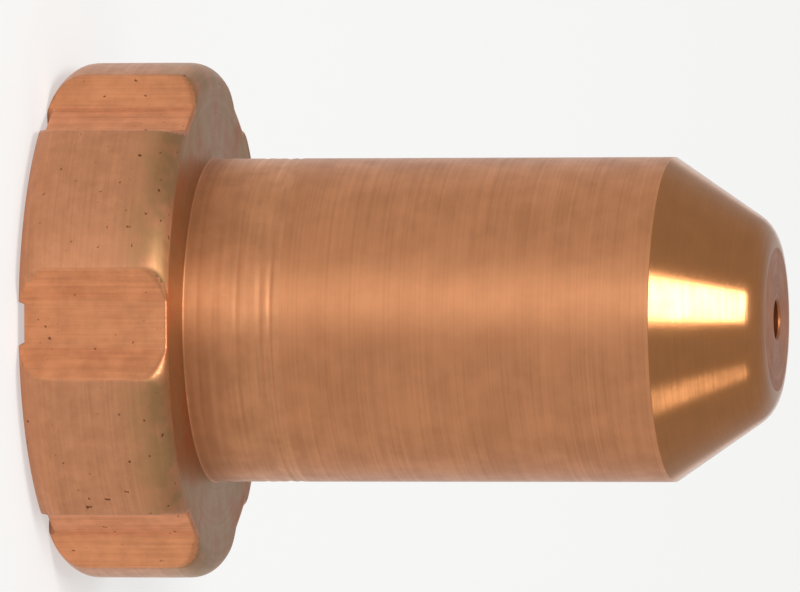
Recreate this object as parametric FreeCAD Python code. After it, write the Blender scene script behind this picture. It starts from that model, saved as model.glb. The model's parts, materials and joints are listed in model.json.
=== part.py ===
"""Nozzle of a plasma cutting torch, turned and milled from one piece of copper.

The nozzle stands on its seat face. The origin is at the centre of that face, Z runs along the
axis towards the orifice, and one milled slot faces -Y. All sizes are in millimetres.
"""
import FreeCAD
import Part
import math
import os

Vector = FreeCAD.Vector

# ---- Driving dimensions ---------------------------------------------------------------------

# Flange at the back
flange_diameter = 16.0
flange_thickness = 4.7
seat_corner_radius = 1.15        # outer corner at the seat face
shoulder_corner_radius = 0.75    # outer corner at the front of the flange

# Gas slots milled through the flange, parallel to the axis
slot_count = 6
slot_depth = 0.8                 # from the rim to the flat floor
slot_floor_width = 1.45
slot_mouth_width = 3.4           # across the slot at the rim
relief_width = 1.3               # relief at the back end of each slot floor
relief_run = 1.25                # radial length of the relief
relief_rise = 0.27               # its depth where it meets the floor
relief_clearance = 0.1           # how far the relief tool reaches past the floor, into the open slot

# Body and nose
overall_length = 22.3            # seat face to nose face
body_diameter = 10.0
root_radius = 0.1                # tool radius where the body meets the flange
nose_cone_length = 3.15          # to the sharp corner of cone and nose face
nose_cone_half_angle = 34.4      # degrees from the axis
nose_corner_radius = 1.2

# Tool grooves left round the root of the body, measured from the front of the flange
groove_places = (1.65, 2.38, 2.7)
groove_width = 0.16
groove_depth = 0.035

# Passage for the electrode and the plasma gas
bore_diameter = 7.0
bore_mouth_chamfer = 0.4
bore_cone_half_angle = 45.0      # degrees from the axis
orifice_diameter = 1.2
orifice_length = 2.9             # of the straight throat
orifice_chamfer = 0.06

# ---- Values worked out from them --------------------------------------------------------------

FULL_TURN = 360.0
TOOL_OVERRUN = 1.0               # how far a cutter passes the faces that it cuts through

flange_radius = flange_diameter / 2
body_radius = body_diameter / 2
bore_radius = bore_diameter / 2
orifice_radius = orifice_diameter / 2
slot_floor_radius = flange_radius - slot_depth

axis_foot = Vector(0, 0, 0)
axis_direction = Vector(0, 0, 1)


def at(radius, height):
    """Point of a turned outline, in the XZ half plane."""
    return Vector(radius, 0, height)


class Outline:
    """A turned outline, drawn point by point with straight lines and round corners."""

    def __init__(self, start):
        self.first = start
        self.last = start
        self.edges = []

    def line_to(self, point):
        if self.last.distanceToPoint(point) > 1e-7:
            self.edges.append(Part.LineSegment(self.last, point).toShape())
        self.last = point

    def corner(self, tip, following, radius):
        """Go towards tip and round it off before the outline turns towards following."""
        back = (self.last - tip).normalize()
        ahead = (following - tip).normalize()
        half_turn = back.getAngle(ahead) / 2
        tangent_length = radius / math.tan(half_turn)
        middle = (back + ahead).normalize()
        centre = tip + middle * (radius / math.sin(half_turn))
        self.line_to(tip + back * tangent_length)
        end = tip + ahead * tangent_length
        self.edges.append(Part.Arc(self.last, centre - middle * radius, end).toShape())
        self.last = end

    def turned_solid(self):
        """Close the outline and turn it once round the axis."""
        self.line_to(self.first)
        face = Part.Face(Part.Wire(self.edges))
        return face.revolve(axis_foot, axis_direction, FULL_TURN)


def outer_blank():
    """Flange, body and nose turned to their outside shape, with no passage and no slots."""
    cone_foot = at(body_radius, overall_length - nose_cone_length)
    nose_tip_radius = body_radius - nose_cone_length * math.tan(math.radians(nose_cone_half_angle))
    nose_tip = at(nose_tip_radius, overall_length)
    seat_corner = at(flange_radius, 0)
    shoulder_corner = at(flange_radius, flange_thickness)
    root = at(body_radius, flange_thickness)

    outline = Outline(at(0, 0))
    outline.corner(seat_corner, shoulder_corner, seat_corner_radius)
    outline.corner(shoulder_corner, root, shoulder_corner_radius)
    outline.corner(root, cone_foot, root_radius)
    for place in groove_places:
        middle = flange_thickness + place
        outline.line_to(at(body_radius, middle - groove_width / 2))
        outline.line_to(at(body_radius - groove_depth, middle))
        outline.line_to(at(body_radius, middle + groove_width / 2))
    outline.line_to(cone_foot)
    outline.corner(nose_tip, at(0, overall_length), nose_corner_radius)
    outline.line_to(at(0, overall_length))
    return outline.turned_solid()


def passage():
    """What the drill and the form tool take out: bore, cone and orifice."""
    cone_end = overall_length - orifice_length
    cone_length = (bore_radius - orifice_radius) / math.tan(math.radians(bore_cone_half_angle))
    outline = Outline(at(0, -TOOL_OVERRUN))
    outline.line_to(at(bore_radius + bore_mouth_chamfer + TOOL_OVERRUN, -TOOL_OVERRUN))
    outline.line_to(at(bore_radius, bore_mouth_chamfer))
    outline.line_to(at(bore_radius, cone_end - cone_length))
    outline.line_to(at(orifice_radius, cone_end))
    outline.line_to(at(orifice_radius, overall_length - orifice_chamfer))
    outline.line_to(at(orifice_radius + orifice_chamfer + TOOL_OVERRUN, overall_length + TOOL_OVERRUN))
    outline.line_to(at(0, overall_length + TOOL_OVERRUN))
    return outline.turned_solid()


def slot_cutter():
    """Milling form of the slot that faces +X: a flat floor between two flat sloping walls."""
    floor_half = slot_floor_width / 2
    mouth_half = slot_mouth_width / 2
    mouth_height = math.sqrt(flange_radius ** 2 - mouth_half ** 2)
    spread = (mouth_half - floor_half) / (mouth_height - slot_floor_radius)
    top = flange_radius + TOOL_OVERRUN
    top_half = floor_half + spread * (top - slot_floor_radius)
    bottom = -TOOL_OVERRUN
    corners = [
        Vector(slot_floor_radius, -floor_half, bottom),
        Vector(top, -top_half, bottom),
        Vector(top, top_half, bottom),
        Vector(slot_floor_radius, floor_half, bottom),
    ]
    section = Part.Face(Part.makePolygon(corners + corners[:1]))
    return section.extrude(Vector(0, 0, flange_thickness + 2 * TOOL_OVERRUN))


def relief_cutter():
    """Shallow conical relief from the seat face into the slot that faces +X."""
    half_angle = math.degrees(math.asin(relief_width / 2 / slot_floor_radius))
    inner = slot_floor_radius - relief_run
    outer = slot_floor_radius + relief_clearance
    depth = relief_rise * (outer - inner) / relief_run
    triangle = Part.Face(Part.makePolygon([at(inner, 0), at(outer, 0), at(outer, depth), at(inner, 0)]))
    triangle.rotate(axis_foot, axis_direction, -half_angle)
    return triangle.revolve(axis_foot, axis_direction, 2 * half_angle)


def nozzle():
    """The whole nozzle: turned blank, passage and the ring of milled slots."""
    solid = outer_blank().cut(passage())
    cutters = []
    for index in range(slot_count):
        turn = index * FULL_TURN / slot_count - 90.0
        for cutter in (slot_cutter(), relief_cutter()):
            cutter.rotate(axis_foot, axis_direction, turn)
            cutters.append(cutter)
    for cutter in cutters:
        solid = solid.cut(cutter)
    return solid.removeSplitter()


def main():
    os.makedirs("parts", exist_ok=True)
    shape = nozzle()
    shape.exportStep("parts/nozzle.step")
    box = shape.optimalBoundingBox()
    print("nozzle: valid", shape.isValid(), "solids", len(shape.Solids), "faces", len(shape.Faces))
    print("volume %.2f mm3, box %.3f x %.3f x %.3f mm" % (shape.Volume, box.XLength, box.YLength, box.ZLength))


main()
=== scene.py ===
"""Finish, stage and camera for the copper nozzle of a plasma cutting torch.

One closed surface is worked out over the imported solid, with the tool marks, broken edges and
machined finishes that the plain solid leaves out. Lengths are in metres, and the frame is the
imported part's own: the seat face at height 0 and the orifice at the top.
"""
import json
import math

import bpy
import numpy as np
from bpy.props import FloatProperty, FloatVectorProperty, IntProperty, PointerProperty
from mathutils import Matrix, Vector


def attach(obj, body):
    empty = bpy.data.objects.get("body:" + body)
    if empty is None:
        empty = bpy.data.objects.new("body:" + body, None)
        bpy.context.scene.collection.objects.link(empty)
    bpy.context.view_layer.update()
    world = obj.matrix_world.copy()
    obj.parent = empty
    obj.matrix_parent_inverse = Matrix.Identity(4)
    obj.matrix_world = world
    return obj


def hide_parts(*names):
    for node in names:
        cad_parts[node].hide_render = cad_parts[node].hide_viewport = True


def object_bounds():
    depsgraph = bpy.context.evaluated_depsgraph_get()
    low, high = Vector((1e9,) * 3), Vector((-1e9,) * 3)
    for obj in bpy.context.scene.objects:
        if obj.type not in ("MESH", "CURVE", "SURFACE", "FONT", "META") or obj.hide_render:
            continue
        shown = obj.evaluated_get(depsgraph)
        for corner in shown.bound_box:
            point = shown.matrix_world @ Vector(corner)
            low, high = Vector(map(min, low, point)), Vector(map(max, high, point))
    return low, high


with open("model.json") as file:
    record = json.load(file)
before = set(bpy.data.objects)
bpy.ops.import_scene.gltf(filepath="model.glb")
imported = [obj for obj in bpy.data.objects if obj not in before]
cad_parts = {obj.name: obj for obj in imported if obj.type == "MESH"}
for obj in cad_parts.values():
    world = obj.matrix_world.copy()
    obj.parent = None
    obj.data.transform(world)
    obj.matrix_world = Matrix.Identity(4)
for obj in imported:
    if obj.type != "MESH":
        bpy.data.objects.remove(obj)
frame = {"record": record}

bl_info = {
    "name": "Plasma torch nozzle",
    "version": (1, 0, 0),
    "blender": (4, 5, 0),
    "location": "3D View > Sidebar > Nozzle",
    "description": "Builds a copper torch nozzle with machined finishes on a studio stage",
    "category": "Add Mesh",
}

MM = 0.001
CAD_LOW, CAD_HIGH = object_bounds()


def mount_radius(name):
    """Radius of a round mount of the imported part, in metres."""
    for mount in frame["record"]["mounts"]:
        if mount["name"] == name:
            return mount["dims"]["r_mm"] * MM
    raise ValueError("the record has no mount called " + name)


def hex_colour(code, alpha=1.0):
    """Turns an sRGB hex value such as 'CC8A5E' into linear red, green, blue and alpha."""
    shares = np.array([int(code[i:i + 2], 16) for i in (0, 2, 4)]) / 255.0
    linear = np.where(shares <= 0.04045, shares / 12.92, ((shares + 0.055) / 1.055) ** 2.4)
    return (*linear.tolist(), alpha)


# ---- What a user can change ---------------------------------------------------------------------


def length(name, description, default):
    """A length property shown in the scene's units."""
    return FloatProperty(name=name, description=description, default=default, min=0.0,
                         unit="LENGTH", precision=5)


def colour(name, description, code):
    """A colour property whose default is an sRGB hex value."""
    return FloatVectorProperty(name=name, description=description, default=hex_colour(code),
                               size=4, min=0.0, max=1.0, subtype="COLOR")


class NozzleSizes(bpy.types.PropertyGroup):
    """Sizes of the turned and milled form."""

    overall_length: length("Overall length", "Seat face to nose face", CAD_HIGH.z)
    flange_radius: length("Flange radius", "Radius over the lobes", CAD_HIGH.x)
    flange_thickness: length("Flange thickness", "Seat face to shoulder", 4.7 * MM)
    seat_corner: length("Seat corner", "Corner radius of the lobes at the seat", 1.15 * MM)
    shoulder_corner: length("Shoulder corner", "Corner radius of the lobes in front", 0.75 * MM)
    slot_count: IntProperty(name="Slots", description="Milled gas slots", default=6, min=2)
    slot_depth: length("Slot depth", "Rim to slot floor", 0.8 * MM)
    slot_floor_width: length("Slot floor width", "Across the flat floor", 1.45 * MM)
    slot_mouth_width: length("Slot mouth width", "Across the slot at the rim", 3.4 * MM)
    relief_run: length("Relief run", "Radial length of the relief behind a slot", 1.25 * MM)
    relief_rise: length("Relief rise", "Depth of the relief at the slot floor", 0.27 * MM)
    body_radius: length("Body radius", "Radius of the turned body", mount_radius("body_outside"))
    cone_length: length("Cone length", "Nose cone along the axis", 3.15 * MM)
    cone_half_angle: FloatProperty(name="Cone half angle", description="Cone to axis",
                                   default=math.radians(34.4), subtype="ANGLE")
    nose_corner: length("Nose corner", "Rounding of cone into nose face", 1.2 * MM)
    orifice_radius: length("Orifice radius", "Radius of the throat", 0.6 * MM)
    orifice_length: length("Orifice length", "Length of the straight throat", 2.9 * MM)
    bore_radius: length("Bore radius", "Radius of the electrode bore",
                        mount_radius("electrode_bore"))
    mouth_chamfer: length("Mouth chamfer", "Chamfer at the mouth of the bore", 0.4 * MM)
    orifice_chamfer: length("Orifice chamfer", "Broken edge round the orifice", 0.06 * MM)
    edge_break: length("Edge break", "Rounding left on machined edges", 0.09 * MM)
    front_break: length("Front edge break", "Rounding of the lobes' edges at the shoulder", 0.4 * MM)
    root_radius: length("Root radius", "Corner where the body meets the flange", 0.04 * MM)
    neck_length: length("Neck length", "Ring-marked stretch in front of the flange", 3.0 * MM)


class NozzleFinishes(bpy.types.PropertyGroup):
    """Colours of the copper where each tool has cut it. The neck's carries painted highlight and the
    faces' carries painted shade.
    """

    body: colour("Turned body", "Fine-turned copper", "D69468")
    # Lighter than the body's colour as painted highlight, standing in for the lamp's bright band on
    # the neck
    neck: colour("Neck", "Ring-turned copper, left bright by the tool", "DE9D70")
    lobes: colour("Flange lobes", "Satin-turned copper", "D5956D")
    slots: colour("Slots", "Milled copper", "E1976A")
    # Darker than the other copper: partly heat browning of the faced surfaces, partly painted shade
    # for the dim reflections they show
    faces: colour("Faces", "Faced copper", "C27A50")
    cone: colour("Nose cone", "Polished copper", "C48453")
    bore: colour("Bore", "Drilled copper", "A8673F")
    tarnish: colour("Tarnish", "Olive-brown film near the shoulder", "B0845A")
    pits: colour("Pits", "Dark specks left in the surface", "7A4A30")


class NozzleStage(bpy.types.PropertyGroup):
    """View and light."""

    tilt: FloatProperty(name="View tilt", description="Camera above the slot plane",
                        default=math.radians(11.1), subtype="ANGLE")
    turn: FloatProperty(name="View turn", description="Camera round the axis",
                        default=math.radians(-0.73), subtype="ANGLE")
    roll: FloatProperty(name="View roll", description="Camera about its own line of sight",
                        default=math.radians(0.09), subtype="ANGLE")
    distance: length("View distance", "Camera to the middle of the view", 402.6 * MM)
    width: length("View width", "Width seen at the middle of the view", 24.71 * MM)
    aim_height: length("Aim height", "Height on the axis that the camera faces", 10.5 * MM)
    aim_rise: length("Aim rise", "How far the view's middle lies beside the axis", 0.737 * MM)
    floor: colour("Floor", "Plain pale floor", "F4F4F2")
    floor_glow: FloatProperty(name="Floor glow", default=0.5, min=0.0, max=1.0,
                              description="Share of the floor that shows as plain white")


# ---- Mesh --------------------------------------------------------------------------------------

SEAT, LOBE, SLOT, SHOULDER, NECK, BODY, CONE, NOSE, PASSAGE = range(9)

COLUMNS_PER_HALF_PITCH = 40
BUNCH_HEIGHT = 14.0                # extra density of columns at an edge
BUNCH_WIDTH = math.radians(0.28)   # half width of that bunch
TABLE_STEPS = 4001                 # entries of the table that is turned round
SMALL_ROUNDING = 0.03 * MM         # of turned edges that look sharp
BORE_ROUNDING = 0.3 * MM           # where the cone of the bore meets its wall
JUST_OVER, JUST_UNDER = 1.001, 0.999
END_BREAK_SHARE = 0.7              # of the edge break, at the seat face and the shoulder
FRONT_BREAK_REACH = 1.3            # in shoulder corners, where the lobes' edges begin to round off
RELIEF_SIDE = 0.06                 # share of half a slot floor over which the relief's side rises
RELIEF_OVERRUN = 1.1               # in relief runs, how far its slope goes on into the slot
RING_FADE = (0.1, 0.2)             # start and length in mm of the unmarked stretch at the root
LINES_SHARE, PATCHES_SHARE = 0.55, 0.45
PIT_SPACING = 0.22                 # between dark specks, in mm
PIT_START, PIT_FULL = 0.74, 0.80   # noise values between which a speck darkens
FLOOR_RINGS = (0.0005, 0.05, 0.3, 2.5)   # radii of the floor's rings, in metres


def smooth_min(a, b, blend):
    """Least of a and b, with the crease between them rounded over a band of width blend."""
    overlap = np.maximum(blend - np.abs(a - b), 0.0) / blend
    return np.minimum(a, b) - overlap ** 2 * blend / 4


def column_angles(sizes):
    """Angles round the axis, bunched where slot floor, slot wall and rim meet.

    The density is 1 plus a bell 1 / (1 + (x / w)^2) at each edge of half a slot pitch. Its
    running sum is turned round, so that equal steps of it give the angles.
    """
    half_pitch = math.pi / sizes.slot_count
    floor_edge, mouth_edge = slot_edges(sizes)
    fine = np.linspace(0.0, half_pitch, TABLE_STEPS)
    density = 1.0 + sum(BUNCH_HEIGHT / (1.0 + ((fine - edge) / BUNCH_WIDTH) ** 2)
                        for edge in (floor_edge, mouth_edge))
    steps = COLUMNS_PER_HALF_PITCH
    total = np.concatenate([[0.0], np.cumsum((density[1:] + density[:-1]) / 2)])
    half = np.interp(np.linspace(0.0, total[-1], steps + 1), total, fine)
    pitch = np.concatenate([half[:-1], 2 * half_pitch - half[:0:-1]])
    turns = np.arange(sizes.slot_count) * 2 * half_pitch
    return (turns[:, None] + pitch[None, :]).ravel() - math.pi / 2


def slot_edges(sizes):
    """Angles from a slot's middle to the edge of its floor and to its mouth at the rim."""
    floor_radius = sizes.flange_radius - sizes.slot_depth
    return (math.atan2(sizes.slot_floor_width / 2, floor_radius),
            math.asin(sizes.slot_mouth_width / 2 / sizes.flange_radius))


def from_slot_middle(angles, sizes):
    """Angle from the middle of the nearest slot, never negative. One slot faces -Y."""
    pitch = 2 * math.pi / sizes.slot_count
    return np.abs((angles + math.pi / 2 + pitch / 2) % pitch - pitch / 2)


def rim_radius(angles, blend, sizes):
    """Radius of the slotted rim: floor f / cos a, wall c / (x cos a - y sin a), rim R.

    The floor and wall lines are given in the slot's own plane, and the greater of the two is
    cut off by the rim. The crease at the rim is rounded over the given blend.
    """
    a = from_slot_middle(angles, sizes)
    floor_radius = sizes.flange_radius - sizes.slot_depth
    floor_half, mouth_half = sizes.slot_floor_width / 2, sizes.slot_mouth_width / 2
    rise = math.sqrt(sizes.flange_radius ** 2 - mouth_half ** 2) - floor_radius
    run = mouth_half - floor_half
    floor_line = floor_radius / np.cos(a)
    wall_line = (run * floor_radius - rise * floor_half) / (run * np.cos(a) - rise * np.sin(a))
    slot = -smooth_min(-floor_line, -wall_line, sizes.edge_break / 2)
    return smooth_min(slot, np.full_like(slot, sizes.flange_radius), blend)


def turned_corner(heights, sizes):
    """Radius of the flange's turned outline at each height, with a quarter circle at each end."""
    back, front = sizes.seat_corner, sizes.shoulder_corner
    below = np.clip(back - heights, 0.0, back)
    above = np.clip(heights - (sizes.flange_thickness - front), 0.0, front)
    return (sizes.flange_radius - (back - np.sqrt(back ** 2 - below ** 2))
            - (front - np.sqrt(front ** 2 - above ** 2)))


def rounded_outline(corners, rounding, steps):
    """Points along a polyline whose corners are replaced by tangent arcs of the given radii."""
    points = [corners[:1]]
    for before, tip, after, radius in zip(corners[:-2], corners[1:-1], corners[2:], rounding):
        back, ahead = before - tip, after - tip
        back, ahead = back / np.linalg.norm(back), ahead / np.linalg.norm(ahead)
        half = math.acos(np.clip(back @ ahead, -1, 1)) / 2
        middle = (back + ahead) / np.linalg.norm(back + ahead)
        centre = tip + middle * radius / math.sin(half)
        start, end = tip + back * radius / math.tan(half), tip + ahead * radius / math.tan(half)
        share = np.linspace(0.0, 1.0, steps + 1)[:, None]
        sweep = math.pi - 2 * half
        arc = (np.sin((1 - share) * sweep) * (start - centre)
               + np.sin(share * sweep) * (end - centre)) / math.sin(sweep) + centre
        points.append(arc)
    points.append(corners[-1:])
    return np.concatenate(points)


# Tool rings round the neck: height above the flange, depth and half width, in millimetres
NECK_RINGS = ((0.42, 0.010, 0.10), (0.95, 0.008, 0.14), (1.65, 0.020, 0.06), (2.02, 0.008, 0.10),
              (2.38, 0.028, 0.10), (2.70, 0.034, 0.06))


def ring_marks(heights, sizes):
    """How far the turning tool cut below the body's radius: one bell for each tool ring."""
    above = (heights - sizes.flange_thickness) / MM
    depth = sum(deep * np.exp(-((above - place) / wide) ** 2) for place, deep, wide in NECK_RINGS)
    return depth * np.clip((above - RING_FADE[0]) / RING_FADE[1], 0, 1) * MM


def flange_rows(angles, sizes):
    """Rows over the seat face, the slotted rim and the shoulder, as radius and height grids."""
    thickness, edge = sizes.flange_thickness, sizes.edge_break * END_BREAK_SHARE
    a = from_slot_middle(angles, sizes)
    floor_radius = sizes.flange_radius - sizes.slot_depth
    relief_start = floor_radius - sizes.relief_run
    floor_edge, _ = slot_edges(sizes)
    in_slot = np.clip((1 - a / floor_edge) / RELIEF_SIDE - 1, 0.0, 1.0)

    def relief(radius):
        share = np.clip((radius - relief_start) / sizes.relief_run, 0.0, RELIEF_OVERRUN)
        return sizes.relief_rise * share * in_slot

    # Heights bunch towards both ends: a raised cosine over each corner, even steps between
    ease = 1 - np.cos(np.linspace(0, math.pi / 2, 15))
    back = sizes.seat_corner * ease
    front = thickness - sizes.shoulder_corner * ease[::-1]
    breaks = np.array([0.1, 0.3, 0.6, 1.0]) * edge
    heights = np.unique(np.concatenate(
        [back, np.linspace(back[-1], front[0], 6), front, breaks, thickness - breaks]))
    end_gap = np.minimum(heights, thickness - heights)
    inset = edge - np.sqrt(np.maximum(edge ** 2 - np.maximum(edge - end_gap, 0) ** 2, 0))
    outline = turned_corner(heights, sizes)
    forward = np.clip((heights - thickness) / (FRONT_BREAK_REACH * sizes.shoulder_corner) + 1, 0, 1)
    blend = sizes.edge_break + sizes.front_break * forward ** 2
    rim = rim_radius(angles, blend[:, None], sizes)
    radius = smooth_min(outline[:, None], rim, blend[:, None]) - inset[:, None]
    lift = relief(radius[0])
    height = lift[None, :] + heights[:, None] * (1 - lift[None, :] / thickness)

    mouth = sizes.bore_radius + sizes.mouth_chamfer
    inner = mouth + (relief_start - mouth) * np.linspace(0.02, 1.0, 6)
    share = np.linspace(0.0, 1.0, 8)[1:-1]
    outer = relief_start + (radius[0][None, :] - relief_start) * share[:, None]
    seat = np.concatenate([np.repeat(inner[:, None], len(angles), axis=1), outer])
    root = sizes.body_radius + sizes.root_radius
    share = np.linspace(0.0, 1.0, 7)[1:-1]
    shoulder = radius[-1][None, :] + (root - radius[-1][None, :]) * share[:, None]

    grid_radius = np.concatenate([seat, radius, shoulder])
    grid_height = np.concatenate([relief(seat), height, np.full_like(shoulder, thickness)])
    milled = a < slot_edges(sizes)[1]
    kind = np.full(grid_radius.shape, SEAT)
    first, last = len(seat), len(seat) + len(heights)
    kind[first:last] = np.where(milled, SLOT, LOBE)[None, :]
    cut_by_outline = outline[:, None] < rim
    kind[first:last] = np.where(cut_by_outline, LOBE, kind[first:last])
    kind[last - 1:] = SHOULDER
    return grid_radius, grid_height, kind


def turned_rows(columns, sizes):
    """Rows from the root of the body over the nose and down through the passage to the mouth."""
    top, body, bore = sizes.overall_length, sizes.body_radius, sizes.bore_radius
    thickness, throat, chamfer = sizes.flange_thickness, sizes.orifice_radius, sizes.orifice_chamfer
    fillet, mouth = sizes.root_radius, sizes.mouth_chamfer
    cone_foot = top - sizes.cone_length
    nose = body - sizes.cone_length * math.tan(sizes.cone_half_angle)
    face_edge = nose - sizes.nose_corner * math.tan(math.pi / 4 - sizes.cone_half_angle / 2)
    throat_end = top - sizes.orifice_length
    neck_end = thickness + sizes.neck_length
    small, wide = SMALL_ROUNDING, BORE_ROUNDING

    root = rounded_outline(
        np.array([(body + fillet, thickness), (body, thickness), (body, thickness + fillet)]),
        (JUST_UNDER * fillet,), 4)[1:-1]
    neck_heights = np.linspace(thickness + 2 * fillet, neck_end, 70)
    neck = np.stack([body - ring_marks(neck_heights, sizes), neck_heights], axis=1)
    straight = np.stack([np.full(4, body), np.linspace(neck_end, cone_foot, 6)[1:-1]], axis=1)
    front = rounded_outline(
        np.array([(body, cone_foot - wide), (body, cone_foot), (nose, top),
                  (throat + chamfer, top), (throat, top - chamfer), (throat, throat_end),
                  (bore, throat_end - (bore - throat)), (bore, mouth),
                  (bore + mouth, 0.0), (bore + 2 * mouth, 0.0)]),
        (small, sizes.nose_corner, small, small, small, wide, small, small), 7)[:-1]
    profile = np.concatenate([root, neck, straight, front])
    radius, height = profile.T
    outside = np.arange(len(profile)) < np.argmax(radius < throat * JUST_OVER)
    kind = np.select(
        [outside & (height < neck_end), outside & (height < cone_foot - small),
         outside & (radius > face_edge * JUST_OVER), outside],
        [NECK, BODY, CONE, NOSE], PASSAGE)
    kind[-1] = SEAT
    ones = np.ones((1, columns))
    return radius[:, None] * ones, height[:, None] * ones, kind[:, None] * ones.astype(int)


def nozzle_mesh(sizes):
    """The closed surface: radius and height on a grid that wraps round both ways.

    Point (i, j) is (r cos t, r sin t, z), where r and z come from row i and t is the angle of
    column j. Row 0 follows the last row, because the passage runs right through.
    """
    angles = column_angles(sizes)
    radius_a, height_a, kind_a = flange_rows(angles, sizes)
    radius_b, height_b, kind_b = turned_rows(len(angles), sizes)
    radius = np.concatenate([radius_a, radius_b])
    height = np.concatenate([height_a, height_b])
    kind = np.concatenate([kind_a, kind_b])
    rows, columns = radius.shape
    points = np.stack([radius * np.cos(angles), radius * np.sin(angles), height], axis=-1)
    index = np.arange(rows * columns).reshape(rows, columns)
    ahead, beside = np.roll(index, -1, axis=0), np.roll(index, -1, axis=1)
    both = np.roll(beside, -1, axis=0)
    quads = np.stack([index, beside, both, ahead], axis=-1).reshape(-1, 4)

    mesh = bpy.data.meshes.new("nozzle_copper")
    mesh.vertices.add(rows * columns)
    mesh.vertices.foreach_set("co", points.reshape(-1))
    mesh.loops.add(quads.size)
    mesh.loops.foreach_set("vertex_index", quads.reshape(-1))
    mesh.polygons.add(len(quads))
    mesh.polygons.foreach_set("loop_start", np.arange(0, quads.size, 4))
    mesh.polygons.foreach_set("material_index", kind.reshape(-1))
    mesh.polygons.foreach_set("use_smooth", np.ones(len(quads), bool))
    mesh.update(calc_edges=True)
    mesh.validate()
    return mesh


# ---- Copper finishes ---------------------------------------------------------------------------


def add_node(tree, kind, links=None, **settings):
    """Adds a node, sets its properties and inputs, and links sockets into its inputs."""
    node = tree.nodes.new(kind)
    for name, value in settings.items():
        setattr(node, name, value)
    for name, value in (links or {}).items():
        socket = node.inputs[name]
        if isinstance(value, bpy.types.NodeSocket):
            tree.links.new(value, socket)
        else:
            socket.default_value = value
    return node


def tool_lines(tree, place, milled, spacing, run):
    """Coordinate in which one unit is a line's spacing across it and its run along it, in mm.

    Milled lines follow Z, so X and Y cross them. Turned lines go round the axis, so the radius
    and the height cross them, and X changes slowly along them.
    """
    if milled:
        across, scale = place, (1 / spacing, 1 / spacing, 1 / run)
    else:
        flat = add_node(tree, "ShaderNodeVectorMath", {0: place, 1: (1, 1, 0)},
                        operation="MULTIPLY")
        radius = add_node(tree, "ShaderNodeVectorMath", {0: flat.outputs[0]}, operation="LENGTH")
        split = add_node(tree, "ShaderNodeSeparateXYZ", {0: place})
        joined = add_node(tree, "ShaderNodeCombineXYZ",
                          {"X": radius.outputs["Value"], "Y": split.outputs["Z"],
                           "Z": split.outputs["X"]})
        across, scale = joined.outputs[0], (1 / spacing, 1 / spacing, 1 / run)
    return add_node(tree, "ShaderNodeMapping",
                    {"Vector": across, "Scale": tuple(share / MM for share in scale)}).outputs[0]


def noise(tree, place, scale, detail, low, high):
    """Noise stretched so that the values from low to high fill 0 to 1."""
    raw = add_node(tree, "ShaderNodeTexNoise",
                   {"Vector": place, "Scale": scale, "Detail": detail, "Roughness": 0.6})
    return add_node(tree, "ShaderNodeMapRange",
                    {"Value": raw.outputs["Fac"], "From Min": low, "From Max": high}).outputs[0]


def blend_colour(tree, share, first, second):
    """Colour that goes from first to second with the share."""
    return add_node(tree, "ShaderNodeMix", {0: share, 6: first, 7: second},
                    data_type="RGBA").outputs[2]


def copper(name, base, colours, milled=False, spacing=0.07, run=4.0, patch=0.8, dark=0.8,
           roughness=0.4, spread=0.06, anisotropy=0.0, depth=0.002, film=(0.0, 0.0), pits=0.0):
    """Bare copper cut by one tool: fine lines along its path, soft patches, film and pits.

    spacing, run, patch, depth and the two heights of the film are in millimetres. dark is how
    far the colour falls in the lines and patches, and film says where the tarnish starts and
    where it is full.
    """
    material = bpy.data.materials.new(name)
    material.use_nodes = True
    tree = material.node_tree
    tree.nodes.clear()
    place = add_node(tree, "ShaderNodeTexCoord").outputs["Object"]
    lines = noise(tree, tool_lines(tree, place, milled, spacing, run), 1.0, 3.0, 0.3, 0.7)
    patches = noise(tree, place, 1 / (patch * MM), 3.0, 0.36, 0.64)
    tone = add_node(tree, "ShaderNodeMath", {0: lines, 1: LINES_SHARE}, operation="MULTIPLY")
    tone = add_node(tree, "ShaderNodeMath", {0: patches, 1: PATCHES_SHARE, 2: tone.outputs[0]},
                    operation="MULTIPLY_ADD").outputs[0]
    shade = tuple(share * dark for share in base[:3]) + (1.0,)
    tint = blend_colour(tree, tone, shade, base)
    if film[1] > 0:
        height = add_node(tree, "ShaderNodeSeparateXYZ", {0: place}).outputs["Z"]
        rise = add_node(tree, "ShaderNodeMapRange",
                        {"Value": height, "From Min": film[0] * MM, "From Max": film[1] * MM})
        clouds = noise(tree, place, 1 / (2 * patch * MM), 2.0, 0.3, 0.55)
        share = add_node(tree, "ShaderNodeMath", {0: rise.outputs[0], 1: clouds},
                         operation="MULTIPLY")
        tint = blend_colour(tree, share.outputs[0], tint, tuple(colours.tarnish))
    if pits > 0:
        specks = noise(tree, place, 1 / (PIT_SPACING * MM), 1.0,
                       PIT_START - pits, PIT_FULL - pits)
        tint = blend_colour(tree, specks, tint, tuple(colours.pits))
    gloss = add_node(tree, "ShaderNodeMapRange",
                     {"Value": tone, "To Min": roughness + spread, "To Max": roughness - spread})
    relief = add_node(tree, "ShaderNodeBump",
                      {"Height": lines, "Strength": 1.0, "Distance": depth * MM})
    shader = add_node(tree, "ShaderNodeBsdfPrincipled",
                      {"Base Color": tint, "Metallic": 1.0, "Roughness": gloss.outputs[0],
                       "Normal": relief.outputs[0]})
    if anisotropy > 0:
        shader.inputs["Anisotropic"].default_value = anisotropy
        shader.inputs["Anisotropic Rotation"].default_value = 0.25
        tangent = add_node(tree, "ShaderNodeTangent", direction_type="RADIAL", axis="Z")
        tree.links.new(tangent.outputs[0], shader.inputs["Tangent"])
    add_node(tree, "ShaderNodeOutputMaterial", {"Surface": shader.outputs[0]})
    return material


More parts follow.
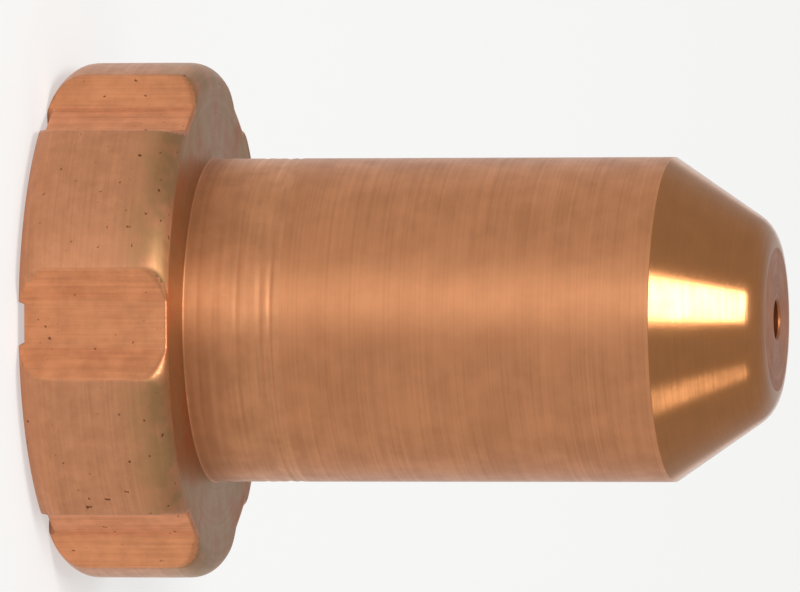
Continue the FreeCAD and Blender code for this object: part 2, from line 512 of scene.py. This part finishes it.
def copper_finishes(colours):
    """One material for each tool's work, in the order of the surface's kinds."""
    # Faced with a broad tool: dull rings about a tenth of a millimetre apart, browned by heat in
    # part
    # and darkened in part as painted shade, for the dim reflections that the faces show
    faced = copper("faced_copper_painted_shade", colours.faces, colours, spacing=0.1, roughness=0.42,
                   anisotropy=0.4, dark=0.75)
    # Turned, then rubbed in handling: satin, with an olive film towards the shoulder
    lobes = copper("satin_turned_copper", colours.lobes, colours, spacing=0.09, run=3.0,
                   patch=0.45, dark=0.84, roughness=0.5, anisotropy=0.75, depth=0.001,
                   film=(3.0, 4.3), pits=0.015)
    # Milled along the axis: straight fine lines with torn specks
    slots = copper("milled_copper", colours.slots, colours, milled=True, spacing=0.12, run=5.0,
                   patch=0.6, dark=0.72, roughness=0.42, depth=0.002, pits=0.015)
    # Shoulder: the same turned copper under its film of tarnish, on the faces colour that is partly
    # painted shade
    shoulder = copper("tarnished_copper_painted_shade", colours.faces, colours, spacing=0.09, patch=0.7,
                      roughness=0.42, anisotropy=0.5, film=(3.0, 4.0))
    # Neck: coarser rings where the tool ran into the shoulder
    # its lighter colour is painted highlight, for the lamp's bright band on the neck
    neck = copper("ring_turned_copper_painted_highlight", colours.neck, colours, spacing=0.16, run=3.0, patch=0.9,
                  dark=0.82, roughness=0.5, anisotropy=0.85)
    # Body: fine even turning, a soft band of light along it
    body = copper("fine_turned_copper", colours.body, colours, spacing=0.07, run=6.0, patch=1.2,
                  dark=0.86, roughness=0.5, anisotropy=0.85, depth=0.001)
    # Nose: polished by hand on the lathe, so the lamps show as hard streaks
    cone = copper("polished_copper", colours.cone, colours, spacing=0.08, run=3.0, patch=0.8,
                  dark=0.85, roughness=0.2, spread=0.05, anisotropy=0.6, depth=0.0008)
    bore = copper("drilled_copper", colours.bore, colours, spacing=0.1, roughness=0.4,
                  anisotropy=0.3)
    return [faced, lobes, slots, shoulder, neck, body, cone, faced, bore]


class NOZZLE_OT_make_piece(bpy.types.Operator):
    """Build the nozzle's surface over its solid and give each cut its own finish"""

    bl_idname = "nozzle.make_piece"
    bl_label = "Make nozzle"

    def execute(self, context):
        scene = context.scene
        mesh = nozzle_mesh(scene.nozzle_sizes)
        piece = bpy.data.objects.new("nozzle_copper", mesh)
        scene.collection.objects.link(piece)
        for material in copper_finishes(scene.nozzle_finishes):
            mesh.materials.append(material)
        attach(piece, "root")
        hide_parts("nozzle")
        return {"FINISHED"}


# ---- Stage -------------------------------------------------------------------------------------


def direction(azimuth, elevation):
    """Unit vector out from the part. Azimuth 0 is -Y, and it grows towards -X."""
    a, e = math.radians(azimuth), math.radians(elevation)
    return Vector((-math.sin(a) * math.cos(e), -math.cos(a) * math.cos(e), math.sin(e)))


def soft_box(name, azimuth, elevation, distance, size, radiance):
    """A square area lamp that faces the part, as bright as a surface of that radiance."""
    lamp = bpy.data.lights.new(name, "AREA")
    lamp.shape = "RECTANGLE"
    lamp.size, lamp.size_y = size
    lamp.energy = radiance * size[0] * size[1] * math.pi
    lamp_object = bpy.data.objects.new(name, lamp)
    away = direction(azimuth, elevation)
    lamp_object.location = away * distance + Vector((0, 0, 0.01))
    lamp_object.rotation_euler = away.to_track_quat("Z", "Y").to_euler()
    bpy.context.scene.collection.objects.link(lamp_object)
    return lamp_object


def studio_floor(tint, glow):
    """A round pale floor under the seat face.

    Seen directly, or in metal or glass, a share of it shows as plain white; the rest is lit by
    the lamps and keeps the shadow.
    """
    rings, steps = np.array(FLOOR_RINGS), 96
    turn = np.arange(steps) * 2 * math.pi / steps
    flat = np.stack([rings[:, None] * np.cos(turn), rings[:, None] * np.sin(turn),
                     np.zeros((len(rings), steps))], axis=-1).reshape(-1, 3)
    index = np.arange(len(flat)).reshape(len(rings), steps)
    beside = np.roll(index, -1, axis=1)
    quads = np.stack([index[:-1], index[1:], beside[1:], beside[:-1]], axis=-1).reshape(-1, 4)
    mesh = bpy.data.meshes.new("studio_floor")
    mesh.from_pydata(flat.tolist(), [], quads.tolist() + [index[0].tolist()])
    material = bpy.data.materials.new("pale_floor")
    material.use_nodes = True
    tree = material.node_tree
    tree.nodes.clear()
    paper = add_node(tree, "ShaderNodeBsdfDiffuse", {"Color": tint}).outputs[0]
    white = add_node(tree, "ShaderNodeEmission", {"Color": (1, 1, 1, 1), "Strength": 1.0})
    rays = add_node(tree, "ShaderNodeLightPath").outputs
    seen = rays["Is Camera Ray"]
    for ray in (rays["Is Glossy Ray"], rays["Is Transmission Ray"]):
        seen = add_node(tree, "ShaderNodeMath", {0: seen, 1: ray}, operation="MAXIMUM").outputs[0]
    share = add_node(tree, "ShaderNodeMath", {0: seen, 1: glow}, operation="MULTIPLY")
    mixed = add_node(tree, "ShaderNodeMixShader",
                     {0: share.outputs[0], 1: paper, 2: white.outputs[0]})
    add_node(tree, "ShaderNodeOutputMaterial", {"Surface": mixed.outputs[0]})
    mesh.materials.append(material)
    floor = bpy.data.objects.new("studio_floor", mesh)
    floor.location.z = CAD_LOW.z
    bpy.context.scene.collection.objects.link(floor)
    return floor


def studio_world():
    """Soft light from all round: white at the horizon and half as bright above it."""
    world = bpy.data.worlds.new("studio")
    bpy.context.scene.world = world
    world.use_nodes = True
    tree = world.node_tree
    tree.nodes.clear()
    place = add_node(tree, "ShaderNodeTexCoord").outputs["Generated"]
    split = add_node(tree, "ShaderNodeSeparateXYZ", {"Vector": place})
    level = add_node(tree, "ShaderNodeMapRange",
                     {"Value": split.outputs["Z"], "From Min": 0.02, "From Max": 0.14,
                      "To Min": 1.0, "To Max": 0.5})
    glow = add_node(tree, "ShaderNodeBackground",
                    {"Color": (1, 1, 1, 1), "Strength": level.outputs[0]})
    add_node(tree, "ShaderNodeOutputWorld", {"Surface": glow.outputs[0]})


def studio_camera(stage):
    """A long lens on the side of the nozzle, rolled so that the axis lies level in the picture."""
    away = direction(math.degrees(-stage.turn), math.degrees(stage.tilt))
    right = Vector((0, 0, 1)) - away * away.z
    right.normalize()
    up = away.cross(right)
    middle = Vector((0, 0, stage.aim_height)) + up * stage.aim_rise
    right, up = (axis @ Matrix.Rotation(stage.roll, 3, away) for axis in (right, up))
    camera = bpy.data.cameras.new("studio_camera")
    camera.sensor_width = 36.0
    camera.lens = 36.0 * stage.distance / stage.width
    camera.clip_start, camera.clip_end = 0.01, 10.0
    camera_object = bpy.data.objects.new("studio_camera", camera)
    turn = Matrix((right, up, away)).transposed().to_4x4()
    camera_object.matrix_world = Matrix.Translation(middle + away * stage.distance) @ turn
    bpy.context.scene.collection.objects.link(camera_object)
    bpy.context.scene.camera = camera_object


class NOZZLE_OT_make_stage(bpy.types.Operator):
    """Set out the floor, the soft lamps and the camera"""

    bl_idname = "nozzle.make_stage"
    bl_label = "Make stage"

    def execute(self, context):
        scene = context.scene
        scene.view_settings.view_transform = "Standard"
        stage = scene.nozzle_stage
        studio_floor(stage.floor, stage.floor_glow)
        studio_world()
        soft_box("key_lamp", 22, 57, 1.2, (0.5, 0.42), 12.0)
        soft_box("side_lamp", -75, 45, 1.2, (0.3, 0.3), 1.5)
        studio_camera(stage)
        return {"FINISHED"}


class NOZZLE_PT_panel(bpy.types.Panel):
    """Sizes, finishes and stage of the nozzle"""

    bl_idname = "NOZZLE_PT_panel"
    bl_label = "Torch nozzle"
    bl_space_type = "VIEW_3D"
    bl_region_type = "UI"
    bl_category = "Nozzle"

    def draw(self, context):
        scene = context.scene
        for group in (scene.nozzle_sizes, scene.nozzle_finishes, scene.nozzle_stage):
            box = self.layout.box()
            for name in group.__annotations__:
                box.prop(group, name)
        self.layout.operator(NOZZLE_OT_make_piece.bl_idname)
        self.layout.operator(NOZZLE_OT_make_stage.bl_idname)


CLASSES = (NozzleSizes, NozzleFinishes, NozzleStage, NOZZLE_OT_make_piece, NOZZLE_OT_make_stage,
           NOZZLE_PT_panel)


def register():
    """Register the classes and hang the property groups on the scene."""
    for item in CLASSES:
        bpy.utils.register_class(item)
    bpy.types.Scene.nozzle_sizes = PointerProperty(type=NozzleSizes)
    bpy.types.Scene.nozzle_finishes = PointerProperty(type=NozzleFinishes)
    bpy.types.Scene.nozzle_stage = PointerProperty(type=NozzleStage)


def unregister():
    """Undo what register does, in the opposite order."""
    del bpy.types.Scene.nozzle_stage
    del bpy.types.Scene.nozzle_finishes
    del bpy.types.Scene.nozzle_sizes
    for item in reversed(CLASSES):
        bpy.utils.unregister_class(item)


def main():
    """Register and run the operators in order."""
    register()
    bpy.ops.nozzle.make_piece()
    bpy.ops.nozzle.make_stage()


if __name__ == "__main__":
    main()
